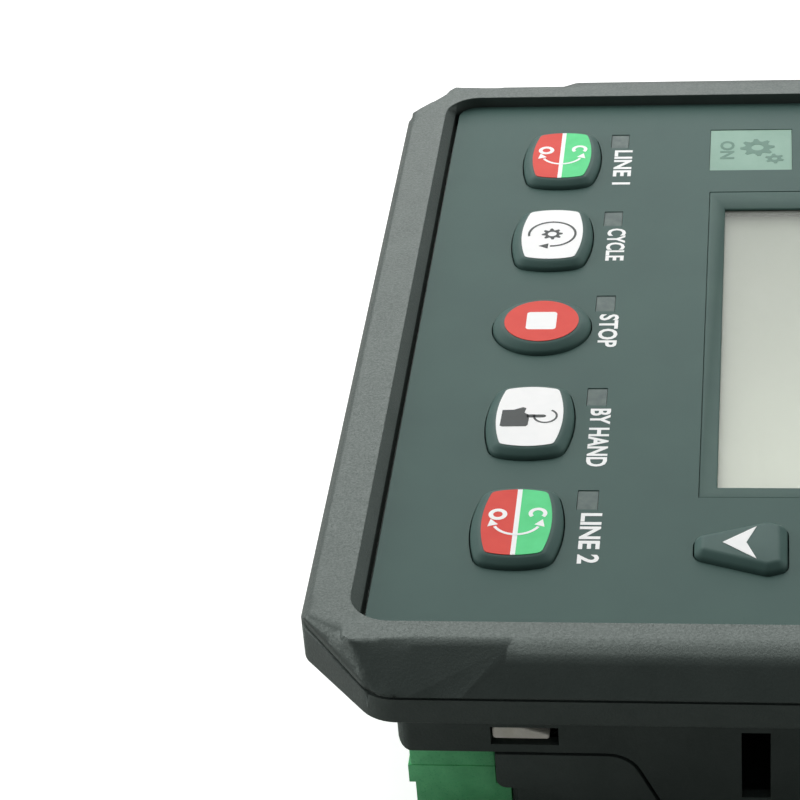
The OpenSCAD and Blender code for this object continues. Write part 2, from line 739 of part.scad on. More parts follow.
// Sloped frame that leads down to the display's window
module display_surround() {
    lip = 0.5;
    mx = lcd_slope_x;
    my = lcd_slope_y;
    over = 1 + past / (lcd_sink - lip);
    low = box_pts(lcd_w / 2, lcd_h / 2);
    top = box_pts(lcd_w / 2 + mx * over, lcd_h / 2 + my * over);
    slope = concat([for (p = low) [p.x, p.y, lip - lcd_sink]], [for (p = top) [p.x, p.y, past]]);
    color("#56706b") at_face() difference() {
        union() {
            slab(surround_back, 0) display_shape(mx, my);
            slab(surround_back, floor_z - snug) display_shape(mx + surround_rim, my + surround_rim);
        }
        slab(surround_back - past, 1) display_shape(0, 0);
        slab(surround_back - past, -lcd_sink) display_shape(lens_margin + snug, lens_margin + snug);
        translate([0, lcd_y, 0]) polyhedron(slope,
            [[0, 1, 2, 3], [7, 6, 5, 4], [0, 4, 5, 1], [1, 5, 6, 2], [2, 6, 7, 3], [3, 7, 4, 0]]);
    }
}

module display_window() {
    color([0.85, 0.9, 0.88, 0.4]) at_face()
        slab(surround_back, -lcd_sink - rest_gap) display_shape(lens_margin, lens_margin);
}

module display_glass() {
    color("#c3cbc0") at_face()
        slab(glass_back, frame_front - frame_wall - snug) display_shape(glass_margin, glass_margin);
}

module display_backlight() {
    color("#e8e8e0") at_face()
        slab(-display_board_z + snug, glass_back - snug) display_shape(glass_margin, glass_margin);
}

module display_frame() {
    color("#3a3d3e") at_face() difference() {
        slab(-display_board_z, frame_front) display_shape(frame_margin, frame_margin);
        slab(-display_board_z - past, frame_front - frame_wall)
            display_shape(glass_margin + 2 * snug, glass_margin + 2 * snug);
        slab(-display_board_z - past, frame_front + past) display_shape(frame_window, frame_window);
    }
}

module status_window() {
    color("#9fc3b3") at_face() {
        slab(floor_z + rest_gap, -window_sink) status_shape(0);
    }
}

// Clear blocks that carry light from the lamps to the small windows
module light_pipes() {
    color("#7d908d") at_face() slab(-display_board_z + lamp_t + clear, -window_sink) led_holes(0);
}

module indicator_lamps() {
    color("#e9e2a8") at_face() slab(-display_board_z + rest_gap, -display_board_z + lamp_t) {
        for (p = row) translate([p.x + led_dx, p.y + led_dy]) square(lamp_size, center = true);
        for (s = [-5, 5]) translate([status_x + s, status_y]) square(lamp_size, center = true);
    }
}

// One key: a sloped cap above the sheet, a stem through it and a rim that holds it in
module key_body(foot, top, stem, rim) {
    hull() {
        slab(-cap_depth, key_wall) polygon(foot);
        slab(key_rise - cap_edge, key_rise) polygon(top);
    }
    slab(catch_z - cap_joint, cap_joint - cap_depth) polygon(stem);
    slab(catch_back, catch_z) polygon(rim);
}

module barrel_key(p) {
    color("#566b67") at_face() translate(p)
        key_body(barrel(key_margin), barrel(key_rim), barrel(key_margin - stem_inset),
            barrel(key_margin + key_catch));
}

module round_key(p, top_r, foot_r) {
    color("#566b67") at_face() translate(p)
        key_body(disc(foot_r), disc(top_r), disc(foot_r - stem_inset), disc(foot_r + key_catch));
}

module arrow_key(p, turn) {
    color("#566b67") at_face() translate(p) rotate(turn)
        key_body(nav_pts(nav_slope), nav_pts(0), nav_pts(nav_slope - stem_inset),
            nav_pts(nav_slope + key_catch));
}

module key_source_1() { barrel_key(row[0]); }
module key_auto() { barrel_key(row[1]); }
module key_off() { round_key(row[2], off_face_r + key_rim, off_foot_r); }
module key_manual() { barrel_key(row[3]); }
module key_source_2() { barrel_key(row[4]); }
module key_down() { arrow_key(nav_down, 0); }
module key_up() { arrow_key(nav_up, 180); }
module key_confirm() { round_key([nav_x, nav_y], confirm_r, confirm_r + nav_slope); }

// Printed fields lie on the keys' flat tops
module print_layer(p) { at_face() translate([p.x, p.y, key_rise]) linear_extrude(print_t) children(); }
module half_face(low, high) {
    intersection() {
        polygon(barrel(0));
        translate([-face_a - past, low]) square([2 * (face_a + past), high - low]);
    }
}
module red_half(p) { color("#e85f50") print_layer(p) half_face(-face_b - past, -split_w / 2); }
module green_half(p) { color("#62e290") print_layer(p) half_face(split_w / 2, face_b + past); }
module white_line(p) { color("#fdfdfd") print_layer(p) half_face(-split_w / 2, split_w / 2); }
module white_face(p) { color("#fdfdfd") print_layer(p) polygon(barrel(0)); }
module off_shape() {
    polygon(rounded(box_pts(off_square / 2, off_square / 2 - 0.2), same(0.8, 4), 4));
}
module source_1_red() { red_half(row[0]); }
module source_1_green() { green_half(row[0]); }
module source_1_line() { white_line(row[0]); }
module source_2_red() { red_half(row[4]); }
module source_2_green() { green_half(row[4]); }
module source_2_line() { white_line(row[4]); }
module auto_face() { white_face(row[1]); }
module manual_face() { white_face(row[3]); }
module off_face() {
    color("#ef5b4c") print_layer(row[2]) difference() {
        circle(r = off_face_r);
        off_shape();
    }
}
module off_mark() { color("#fdfdfd") print_layer(row[2]) off_shape(); }
module arrow_mark(p, turn) { color("#fdfdfd") print_layer(p) rotate(turn) polygon(arrow_pts); }
module arrow_down() { arrow_mark(nav_down, 0); }
module arrow_up() { arrow_mark(nav_up, 180); }

// Rubber mat on the display board, with a hollow dome under each key
domes = concat(row, [nav_down - [0, 4], nav_up + [0, 4], [nav_x, nav_y]]);
module keypad_mat() {
    base = -display_board_z;
    color("#d9d4c2") at_face() difference() {
        union() {
            slab(base, base + mat_t) {
                translate(row[0] - mat_reach) square([4 * key_pitch + 2 * mat_reach.x, mat_band]);
                translate([nav_x - mat_nav.x, key_row_y])
                    square([2 * mat_nav.x, nav_y + mat_nav.y - key_row_y]);
            }
            for (p = domes) translate([p.x, p.y, base])
                cylinder(r1 = dome_r + mat_t, r2 = dome_r, h = mat_top - base);
        }
        for (p = domes) tube(p, 2 * dome_hollow, base - past, mat_top - mat_t);
        slab(base - past, base + mat_t + past) led_holes(clear);
    }
}

module board_outline() { square([2 * (in_x - board_gap), 2 * (in_y - board_gap)], center = true); }

module display_board() {
    color("#1f6b45") at_face() difference() {
        slab(display_board_back, -display_board_z) board_outline();
        for (p = posts) tube(p, screw_d + screw_play, display_board_back - past, 0);
    }
}

// Slotted screw pointing up, with its head's seat and its tip at these heights
module screw(p, d, seat, tip) {
    difference() {
        union() {
            tube(p, head_d, seat - head_t, seat);
            tube(p, d, seat - snug, tip);
        }
        block(p.x - head_d, p.x + head_d, p.y - drive_w / 2, p.y + drive_w / 2,
            seat - head_t - past, seat - head_t + drive_d);
    }
}

module display_screws() {
    color("#b9bcc0") at_face() for (p = posts)
        screw(p, pilot_d - snug, display_board_back - rest_gap, -display_board_z + screw_bite);
}

module board_spacers() {
    color("#c9a24b") at_face() for (p = cover_posts) difference() {
        tube(p, post_d, -main_board_z + rest_gap, display_board_back - rest_gap);
        tube(p, screw_d + screw_play, -main_board_z - past, -main_board_z + screw_bite + past);
    }
}

module link_part(low, high) {
    block(link_at.x - link_l / 2, link_at.x + link_l / 2, link_at.y - link_w / 2, link_at.y + link_w / 2,
        low, high);
}
module link_socket() {
    color("#202224") at_face() link_part(link_split + rest_gap, display_board_back - rest_gap);
}
module link_header() {
    color("#303335") at_face() link_part(-main_board_z + rest_gap, link_split);
}

module main_board() {
    notch = 4.2;
    color("#1f6b45") at_face() difference() {
        slab(main_board_back, -main_board_z) board_outline();
        for (p = cover_posts) tube(p, screw_d + screw_play, main_board_back - past, 0);
        sides() block(in_x - notch, in_x + past, clip_y - clip_slot_w, clip_y + clip_slot_w,
            main_board_back - past, 0);
    }
}

// Block under the main board, with its middle at p
module on_board(p, w, h, t) { translate([p.x, p.y, mount_z - t / 2]) cube([w, h, t], center = true); }

module transformer() {
    color("#2d4a7c") at_face() on_board(transformer_at, transformer_l, transformer_w, transformer_h);
}

module relays() {
    color("#2f3a44") at_face() for (i = [0:4])
        on_board(relay_at + [i * relay_pitch, 0], relay_l, relay_w, relay_h);
}

module capacitors() {
    color("#33383d") at_face() {
        for (p = capacitors_at) tube(p, capacitor_d, mount_z - capacitor_h, mount_z);
        for (p = small_capacitors_at) tube(p, capacitor_small_d, mount_z - capacitor_h, mount_z);
    }
}

module processor_chips() {
    color("#191a1c") at_face() {
        on_board(processor_at, processor_w, processor_w, chip_t);
        on_board(driver_at, driver_w, driver_w, chip_t);
        for (p = interfaces_at) on_board(p, interface_size.x, interface_size.y, chip_t);
    }
}

module clock_cell() {
    color("#c6c8ca") at_face() tube(cell_at, cell_d, mount_z - cell_t, mount_z);
}

// Pale sealant seen through the side slots, resting on the main board's edge
module slot_sealant() {
    low = -main_board_z + rest_gap;
    high = -side_slot_top - clear;
    near = side_slot_y + side_slot_w / 2 - clear;
    color("#ece7d6") at_face() four() yz(in_x - sealant_in, case_x - sealant_sunk)
        polygon(rounded([[near - sealant_l, low], [near, low], [near, high], [near - sealant_l / 2, high],
            [near - sealant_l, low + sealant_toe]], [0.5, 0.8, 0.8, 1.5, 0.4], 4));
}

module cover_screws() {
    color("#b9bcc0") at_face() for (p = cover_posts)
        screw(p, screw_d, cover_screw_seat - rest_gap, -main_board_z + screw_bite);
}

// Sockets and plugs stand side by side along the bottom and top of the case
function blocks(count, w) = [for (i = [0:count - 1]) (i - count / 2) * (w + block_gap) + block_gap / 2];
function pole_places(count, w, pitch, poles) =
    [for (x = blocks(count, w), i = [0:poles - 1]) x + w / 2 + (i - (poles - 1) / 2) * pitch];
module socket_profile() {
    outer = block_out - socket_set_back;
    neck_in = block_in + 2 * clear;
    neck_out = in_y - clear;
    shelf = -band_depth - clear;
    low = -plug_joint + rest_gap;
    polygon([[neck_in, mount_z], [neck_out, mount_z], [neck_out, shelf], [outer, shelf],
        [outer, low], [block_in, low], [block_in, shelf], [neck_in, shelf]]);
}

module socket_row(count, w) {
    color("#4fa06a") at_face() for (x = blocks(count, w)) yz(x, x + w) socket_profile();
}
module terminal_sockets_low() {
    mirror([0, 1, 0]) socket_row(count_low, block_w(pitch_low, poles_low));
}
module terminal_sockets_up() { socket_row(count_up, block_w(pitch_up, poles_up)); }

module plug_profile() {
    inner = block_in + snug;
    low_in = cover_low_half + plug_cover_gap;
    low_out = block_out - plug_ledge;
    polygon([[inner, -plug_joint], [block_out, -plug_joint], [block_out, -plug_step], [low_out, -plug_step],
        [low_out, plugs_back], [low_in, plugs_back], [low_in, -plug_step], [inner, -plug_step]]);
}

module plug_row(count, pitch, poles, screw_hole) {
    w = block_w(pitch, poles);
    entry_z = (plugs_back - plug_step) / 2;
    color("#3d9159") at_face() difference() {
        for (x = blocks(count, w)) yz(x, x + w) plug_profile();
        for (px = pole_places(count, w, pitch, poles)) {
            block(px - pitch / 2 + entry_rib, px + pitch / 2 - entry_rib, block_out - plug_ledge - entry_d,
                block_out + past, entry_z - entry_h / 2, entry_z + entry_h / 2);
            tube([px, terminal_screw_y], screw_hole, plugs_back - past,
                plugs_back + terminal_screw_z + terminal_screw_l + rest_gap);
        }
    }
}
module terminal_plugs_low() { mirror([0, 1, 0]) plug_row(count_low, pitch_low, poles_low, screw_hole_low); }
module terminal_plugs_up() { plug_row(count_up, pitch_up, poles_up, screw_hole_up); }

module terminal_screw_row(count, pitch, poles, d) {
    low = plugs_back + terminal_screw_z;
    for (px = pole_places(count, block_w(pitch, poles), pitch, poles)) difference() {
        tube([px, terminal_screw_y], d, low, low + terminal_screw_l);
        block(px - drive_w / 2, px + drive_w / 2, terminal_screw_y - d, terminal_screw_y + d,
            low - past, low + drive_d);
    }
}

module terminal_screws() {
    color("#b9bcc0") at_face() {
        mirror([0, 1, 0])
            terminal_screw_row(count_low, pitch_low, poles_low, screw_hole_low - screw_play);
        terminal_screw_row(count_up, pitch_up, poles_up, screw_hole_up - screw_play);
    }
}

front_housing();
front_sheet();
panel_gasket();
rear_cover();
display_surround();
display_window();
display_glass();
display_frame();
display_backlight();
status_window();
light_pipes();
indicator_lamps();
key_source_1();
key_auto();
key_off();
key_manual();
key_source_2();
source_1_red();
source_1_green();
source_1_line();
auto_face();
off_face();
off_mark();
manual_face();
source_2_red();
source_2_green();
source_2_line();
key_up();
key_down();
key_confirm();
arrow_up();
arrow_down();
keypad_mat();
display_board();
display_screws();
board_spacers();
link_socket();
link_header();
main_board();
transformer();
relays();
capacitors();
processor_chips();
clock_cell();
slot_sealant();
cover_screws();
terminal_sockets_low();
terminal_sockets_up();
terminal_plugs_low();
terminal_plugs_up();
terminal_screws();
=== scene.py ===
import json
import math
import bmesh
import bpy
from mathutils import Euler, Matrix, Vector


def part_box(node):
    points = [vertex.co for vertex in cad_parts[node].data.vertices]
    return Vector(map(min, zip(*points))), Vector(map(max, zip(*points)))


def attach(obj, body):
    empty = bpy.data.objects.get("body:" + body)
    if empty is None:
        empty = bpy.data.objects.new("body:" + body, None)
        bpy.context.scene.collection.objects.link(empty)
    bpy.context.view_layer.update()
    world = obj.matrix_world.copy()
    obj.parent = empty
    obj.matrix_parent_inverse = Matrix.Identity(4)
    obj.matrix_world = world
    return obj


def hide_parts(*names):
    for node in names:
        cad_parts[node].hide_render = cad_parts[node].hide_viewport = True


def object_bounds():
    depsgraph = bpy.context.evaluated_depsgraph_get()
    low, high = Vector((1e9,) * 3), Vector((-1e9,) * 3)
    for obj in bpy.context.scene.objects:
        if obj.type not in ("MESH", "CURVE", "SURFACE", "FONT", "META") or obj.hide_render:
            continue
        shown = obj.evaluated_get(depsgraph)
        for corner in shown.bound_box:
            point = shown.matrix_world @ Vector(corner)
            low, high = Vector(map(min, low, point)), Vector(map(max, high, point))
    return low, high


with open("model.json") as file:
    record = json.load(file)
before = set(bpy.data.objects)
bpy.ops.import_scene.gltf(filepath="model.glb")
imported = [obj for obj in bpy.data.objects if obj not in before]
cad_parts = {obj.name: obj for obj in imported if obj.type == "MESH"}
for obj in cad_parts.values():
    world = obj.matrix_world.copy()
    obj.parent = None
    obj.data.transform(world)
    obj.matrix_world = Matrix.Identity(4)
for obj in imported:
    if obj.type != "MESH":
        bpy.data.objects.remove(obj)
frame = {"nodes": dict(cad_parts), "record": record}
nodes = frame["nodes"]
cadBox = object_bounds()
scene = bpy.context.scene
mm = 0.001
print("controller loaded:", len(nodes), "pieces")

# Camera, floor and studio light

view = {  # fitted to the photograph: metres, degrees and a lens in mm
    "place": (0.540147, 0.00118, 0.397179), "turn": (56.023, 4.17365, 96.19895), "lens": 128.385,
}
cameraData = bpy.data.cameras.new("camera")
cameraData.lens = view["lens"]
camera = bpy.data.objects.new("camera", cameraData)
camera.location = view["place"]
camera.rotation_euler = Euler([math.radians(a) for a in view["turn"]])
scene.collection.objects.link(camera)
scene.camera = camera
scene.view_settings.view_transform = "Standard"


# sRGB hex to the linear colour that the shaders want
def hexColor(text):
    parts = [int(text[i:i + 2], 16) / 255 for i in (0, 2, 4)]
    linear = [c / 12.92 if c <= 0.04045 else ((c + 0.055) / 1.055) ** 2.4 for c in parts]
    return (*linear, 1.0)


# Adds one node, with its own settings, socket values and links
def addNode(tree, kind, own=None, values=None, links=None):
    node = tree.nodes.new("ShaderNode" + kind)
    for key, value in (own or {}).items():
        setattr(node, key, value)
    for key, value in (values or {}).items():
        node.inputs[key].default_value = value
    for key, source in (links or {}).items():
        tree.links.new(source, node.inputs[key])
    return node


studio = {
    "world": 0.2, "worldColor": "f4f6f6",
    "lamps": [  # name, place, width and depth in metres, watts
        ("farSoftbox", (-0.85, -0.08, 0.7), (1.2, 1.05), 12.0),
        ("topSoftbox", (-0.45, -0.3, 1.15), (0.9, 0.9), 2.1),
        ("cornerSoftbox", (-0.65, -0.75, 0.55), (0.5, 0.5), 1.2),
        ("leftSoftbox", (-0.12, -1.1, 0.28), (0.8, 0.5), 6.5),
        ("rightSoftbox", (-0.25, 1.0, 0.3), (0.8, 0.5), 3.2),
    ],
    "aim": (0.0, 0.0, 0.03),
    "floorSize": 4.0, "floorColor": "b8b8b6",
    "floorWhite": 0.8,  # the floor glows by this, to the camera alone
}


def makeStudio():
    world = bpy.data.worlds.new("studioWorld")
    scene.world = world
    world.use_nodes = True
    tree = world.node_tree
    tree.nodes.clear()
    path = addNode(tree, "LightPath")
    grey = addNode(tree, "Background", values={
        "Color": hexColor(studio["worldColor"]), "Strength": studio["world"]})
    white = addNode(tree, "Background", values={"Color": (1, 1, 1, 1), "Strength": 1.0})
    mix = addNode(tree, "MixShader", links={
        "Fac": path.outputs["Is Camera Ray"], 1: grey.outputs[0], 2: white.outputs[0]})
    addNode(tree, "OutputWorld", links={"Surface": mix.outputs[0]})
    for name, place, size, watts in studio["lamps"]:
        lamp = bpy.data.lights.new(name, "AREA")
        lamp.shape = "RECTANGLE"
        lamp.size, lamp.size_y = size
        lamp.energy = watts
        holder = bpy.data.objects.new(name, lamp)
        holder.location = place
        aim = Vector(studio["aim"]) - Vector(place)
        holder.rotation_euler = aim.to_track_quat("-Z", "Y").to_euler()
        scene.collection.objects.link(holder)


def makeFloor():
    shape = bmesh.new()
    bmesh.ops.create_grid(shape, x_segments=1, y_segments=1, size=studio["floorSize"] / 2)
    data = bpy.data.meshes.new("studioFloor")
    shape.to_mesh(data)
    shape.free()
    floor = bpy.data.objects.new("studioFloor", data)
    scene.collection.objects.link(floor)
    paint = bpy.data.materials.new("matt white studio floor")  # plain white, keeps the soft shadow
    paint.use_nodes = True
    tree = paint.node_tree
    tree.nodes.clear()
    path = addNode(tree, "LightPath")
    seen = addNode(tree, "Math", {"operation": "MAXIMUM"}, links={
        0: path.outputs["Is Camera Ray"], 1: path.outputs["Is Transmission Ray"]})
    lift = addNode(tree, "Math", {"operation": "MULTIPLY"}, {1: studio["floorWhite"]}, {0: seen.outputs[0]})
    matt = addNode(tree, "BsdfDiffuse", values={"Color": hexColor(studio["floorColor"])})
    glow = addNode(tree, "Emission", values={"Color": (1, 1, 1, 1)}, links={"Strength": lift.outputs[0]})
    both = addNode(tree, "AddShader", links={0: matt.outputs[0], 1: glow.outputs[0]})
    addNode(tree, "OutputMaterial", links={"Surface": both.outputs[0]})
    data.materials.append(paint)


makeStudio()
makeFloor()
print("camera, floor and lamps ready")


# Finishes


# Every one of them is a moulded, printed, plated or cured surface: two close colours in soft
# patches, a fine grain at its real size, and a roughness that wanders a little
def surfaceFinish(name, look):
    paint = bpy.data.materials.new(name)
    paint.use_nodes = True
    tree = paint.node_tree
    tree.nodes.clear()
    at = addNode(tree, "TexCoord").outputs["Object"]
    patches = addNode(tree, "TexNoise", values={
        "Scale": 1 / (look["patch"] * mm), "Detail": 3.0, "Roughness": 0.55}, links={"Vector": at})
    tone = addNode(tree, "MapRange", values={"From Min": 0.3, "From Max": 0.7},
                   links={"Value": patches.outputs["Fac"]})
    color = addNode(tree, "Mix", {"data_type": "RGBA"}, {6: hexColor(look["low"]), 7: hexColor(look["high"])},
                    {0: tone.outputs["Result"]})
    if "paintedFade" in look:  # painted light and shade: the tone is painted to change slowly along X, from the piece's own colours to a painted end colour
        along = addNode(tree, "SeparateXYZ", links={"Vector": at})
        start, end, far = look["paintedFade"]
        share = addNode(tree, "MapRange", values={"From Min": start * mm, "From Max": end * mm},
                        links={"Value": along.outputs["X"]})
        color = addNode(tree, "Mix", {"data_type": "RGBA"}, {7: hexColor(far)},
                        {0: share.outputs["Result"], 6: color.outputs[2]})
    grain = addNode(tree, "TexNoise", values={
        "Scale": 1 / (look["grain"] * mm), "Detail": 2.0, "Roughness": 0.6}, links={"Vector": at})
    rough = addNode(tree, "MapRange", values={
        "From Min": 0.35, "From Max": 0.65, "To Min": look["rough"][0], "To Max": look["rough"][1]},
        links={"Value": grain.outputs["Fac"]})
    shader = addNode(tree, "BsdfPrincipled", values={
        "Metallic": look.get("metal", 0.0),
        "IOR": look.get("ior", 1.5),
        "Specular IOR Level": look.get("shine", 0.5),
        "Alpha": look.get("alpha", 1.0),
        "Coat Weight": look.get("coat", 0.0),
        "Coat Roughness": 0.12,
        "Specular Tint": hexColor(look.get("glint", "ffffff")),
    }, links={"Base Color": color.outputs[2], "Roughness": rough.outputs["Result"]})
    if look["relief"]:
        depth = {"Strength": look.get("bite", 0.6), "Distance": look["relief"] * mm}
        bump = addNode(tree, "Bump", values=depth, links={"Height": grain.outputs["Fac"]})
        tree.links.new(bump.outputs["Normal"], shader.inputs["Normal"])
    addNode(tree, "OutputMaterial", links={"Surface": shader.outputs[0]})
    return paint


# Two colours, size of the patches and the grain in mm, depth of the grain in mm and its strength,
# range of roughness, and where needed shine, index, metal, coat, alpha, tint and a painted fade along X in
# mm, which paints light and shade into the colour
inkLook = {"patch": 5, "grain": 0.25, "relief": 0.004, "rough": (0.4, 0.5), "bite": 0.3, "shine": 0.2}
finishes = {
    # dark grey-green ABS with a spark-eroded grain, which greys it where light rakes over it
    "case_plastic": ("moulded ABS case", {
        "low": "3b4340", "high": "424a47", "patch": 9, "grain": 0.55, "relief": 0.09, "rough": (0.4, 0.56),
        "bite": 0.75, "shine": 0.6, "glint": "e4f4ec"}),
    # polycarbonate sheet printed from behind, with a fine velvet front that veils the slate colour
    "sheet_print": ("velvet polycarbonate sheet", {
        "low": "405954", "high": "445e58", "patch": 24, "grain": 0.3, "relief": 0.02, "rough": (0.4, 0.48),
        "bite": 0.4, "shine": 0.1}),
    # closed-cell foam rubber, dull and faintly pitted
    "gasket_rubber": ("foam rubber gasket", {
        "low": "151717", "high": "1d2020", "patch": 3, "grain": 0.8, "relief": 0.15, "rough": (0.8, 0.95)}),
    # same slate as the sheet, moulded with a fine grain
    "surround_plastic": ("moulded ABS surround", {
        "low": "435b56", "high": "476059", "patch": 12, "grain": 0.3, "relief": 0.02, "rough": (0.45, 0.55),
        "bite": 0.5, "shine": 0.12}),
    # clear acrylic, seen mostly by its reflections
    "window_clear": ("clear acrylic window", {
        "low": "d4dacf", "high": "d9dfd4", "patch": 60, "grain": 6, "relief": 0, "rough": (0.16, 0.2),
        "ior": 1.49, "alpha": 0.22}),
    # display polariser: grey-cream and satin, with a painted highlight: it is painted paler toward its +X
    # end, as if lit brighter there
    "display_film": ("satin display polariser", {
        "low": "868e7e", "high": "909687", "patch": 30, "grain": 3, "relief": 0, "rough": (0.34, 0.38),
        "shine": 0.2, "paintedFade": (-60, 45, "ebefe2")}),
    # thin sheet steel, blackened to a dull near-black
    "frame_steel": ("blackened steel frame", {
        "low": "2b2d2e", "high": "36393a", "patch": 8, "grain": 0.3, "relief": 0.01, "rough": (0.4, 0.55),
        "metal": 0.8}),
    # milky acrylic light guide, an even soft white
    "backlight_white": ("milky acrylic backlight", {
        "low": "e4e5de", "high": "eeeee8", "patch": 20, "grain": 1.2, "relief": 0.004,
        "rough": (0.35, 0.45)}),
    # pale green printed window, half clear, with a soft sheen
    "status_green": ("pale green acrylic window", {
        "low": "7ca18f", "high": "86ab99", "patch": 11, "grain": 0.5, "relief": 0.008, "rough": (0.4, 0.5),
        "bite": 0.3, "shine": 0.25}),
    # smoky clear light pipes, a little brighter than the sheet
    "pipe_clear": ("smoky polycarbonate light pipe", {
        "low": "3a4e4b", "high": "52655f", "patch": 2.5, "grain": 0.6, "relief": 0.006, "rough": (0.3, 0.4),
        "shine": 0.2}),
    # cast resin of the lamps, pale yellow and glossy
    "lamp_resin": ("yellow lamp resin", {
        "low": "d9cf96", "high": "e6dda8", "patch": 1.5, "grain": 0.3, "relief": 0.004,
        "rough": (0.25, 0.35)}),
    # slate elastomer keys with a soft sheen
    "key_plastic": ("slate key elastomer", {
        "low": "435c57", "high": "48615c", "patch": 7, "grain": 0.28, "relief": 0.015, "rough": (0.44, 0.54),
        "bite": 0.4, "shine": 0.14}),
    # screen-printed inks under a clear film: even, with a soft gloss
    "print_red": ("printed red ink", {**inkLook, "low": "d62a16", "high": "dc3521"}),
    "print_green": ("printed green ink", {**inkLook, "low": "45cf7d", "high": "4fd988"}),
    "print_white": ("printed white ink", {**inkLook, "low": "f3f4f3", "high": "f8f8f7"}),
    # dark grey ink of the signs on the white keys
    "print_dark": ("printed dark ink", {**inkLook, "low": "343a39", "high": "3a413f", "patch": 3}),
    # dull green ink of the sign in the status window
    "print_moss": ("printed moss ink", {**inkLook, "low": "587e6f", "high": "628878", "patch": 3}),
    # translucent silicone, waxy
    "mat_rubber": ("waxy silicone mat", {
        "low": "c9c3ae", "high": "d6d1bf", "patch": 6, "grain": 0.6, "relief": 0.02, "rough": (0.5, 0.65)}),
    # solder mask over copper: glossy mottled green, with painted shade darkening its edge beside the right
    # slots
    "board_green": ("green solder mask", {
        "low": "1a5a39", "high": "23724a", "patch": 2.2, "grain": 0.5, "relief": 0.02, "rough": (0.25, 0.4),
        "paintedFade": (101, 105, "0b100e")}),
    # zinc-plated steel, greyish and slightly mottled
    "screw_steel": ("zinc plated screw steel", {
        "low": "a9adb1", "high": "c2c5c8", "patch": 1.4, "grain": 0.2, "relief": 0.01, "rough": (0.28, 0.42),
        "metal": 1.0}),
    # turned brass, warm and satin
    "spacer_brass": ("turned brass spacer", {
        "low": "b6903c", "high": "c9a550", "patch": 2, "grain": 0.2, "relief": 0.01, "rough": (0.25, 0.38),
        "metal": 1.0}),
    # glass-filled moulding, dull black
    "link_black": ("glass filled nylon link", {
        "low": "1c1e1f", "high": "26292a", "patch": 2, "grain": 0.3, "relief": 0.03, "rough": (0.5, 0.65)}),
    # polyester tape round the coil, blue and slightly wrinkled
    "coil_wrap": ("polyester coil wrap", {
        "low": "26406b", "high": "33558a", "patch": 4, "grain": 0.8, "relief": 0.05, "rough": (0.35, 0.5)}),
    # smooth moulded relay covers, dark and glossy
    "relay_case": ("moulded relay cover", {
        "low": "222b33", "high": "2b353e", "patch": 4, "grain": 0.3, "relief": 0.01, "rough": (0.25, 0.35)}),
    # vinyl sleeve shrunk on the cans, dark with a clear gloss
    "can_sleeve": ("shrunk vinyl sleeve", {
        "low": "26292d", "high": "33383d", "patch": 3, "grain": 0.5, "relief": 0.01, "rough": (0.3, 0.4)}),
    # moulded epoxy of the chips, dull black
    "chip_epoxy": ("moulded chip epoxy", {
        "low": "141517", "high": "1c1d20", "patch": 1.5, "grain": 0.2, "relief": 0.01, "rough": (0.5, 0.6)}),
    # drawn steel can of the clock cell, bright and smooth
    "cell_steel": ("bright cell steel", {
        "low": "bdbfc1", "high": "d0d2d3", "patch": 4, "grain": 0.3, "relief": 0.005, "rough": (0.2, 0.3),
        "metal": 1.0}),
    # pale cured bead, lumpy and soft
    "sealant_cream": ("cured sealant bead", {
        "low": "ebe7d8", "high": "fbf8ee", "patch": 2.2, "grain": 1.1, "relief": 0.25, "rough": (0.4, 0.55)}),
    # green polyamide of the terminals, slightly waxy and glossy
    "terminal_green": ("green polyamide terminal", {
        "low": "63cf88", "high": "76e39b", "patch": 3.5, "grain": 0.45, "relief": 0.02, "rough": (0.26, 0.38),
        "coat": 0.25}),
}
paints = {slot: surfaceFinish(name, look) for slot, (name, look) in finishes.items()}
slotOf = {entry["node"]: entry["material_slot"] for entry in frame["record"]["subparts"]}
for name, piece in nodes.items():
    piece.data.materials.clear()
    piece.data.materials.append(paints[slotOf[name]])
print("finishes given to every piece:", len(paints))


# Pieces made here

bodyOf = {n: body for body, group in frame["record"]["behaviour"]["bodies"].items() for n in group}
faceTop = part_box("front_sheet")[1].z


# Puts a finished mesh in the scene, riding its body and smooth between its real edges
def addPiece(name, shape, slot, body, stands=(), crease=28, finish=None):
    data = bpy.data.meshes.new(name)
    shape.to_mesh(data)
    shape.free()
    for face in data.polygons:
        face.use_smooth = True
    data.set_sharp_from_angle(angle=math.radians(crease))
    piece = bpy.data.objects.new(name, data)
    scene.collection.objects.link(piece)
    data.materials.append(paints[finish or slot])
    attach(piece, body)
    if stands:
        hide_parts(*stands)
    return piece


welding = {"gap": 0.002, "cut": 0.005, "flat": 0.6}  # mm, mm, and degrees between faces that are made one


# Welded copy of a CAD piece with its flat faces made whole, ready for its edges to be softened
def weldedCopy(node):
    shape = bmesh.new()
    shape.from_mesh(nodes[node].data)
    bmesh.ops.remove_doubles(shape, verts=shape.verts[:], dist=welding["gap"] * mm)
    bmesh.ops.dissolve_limit(shape, angle_limit=math.radians(welding["flat"]),
                             verts=shape.verts[:], edges=shape.edges[:])
    return shape


def edgeAngle(edge):
    return edge.calc_face_angle(0.0) if len(edge.link_faces) == 2 else 0.0


# Outward edges sharper than an angle in degrees, whose ends both pass a test on their place in mm
def convexEdges(shape, angle, test=lambda p: True):
    return [e for e in shape.edges if e.is_convex and edgeAngle(e) > math.radians(angle)
            and all(test(v.co / mm) for v in e.verts)]


# Rounds the picked edges of a mesh
def roundEdges(shape, edges, radius, steps=3):
    bmesh.ops.bevel(shape, geom=edges, offset=radius * mm, offset_type="OFFSET", segments=steps,
                    profile=0.5, affect="EDGES", material=-1, clamp_overlap=True)


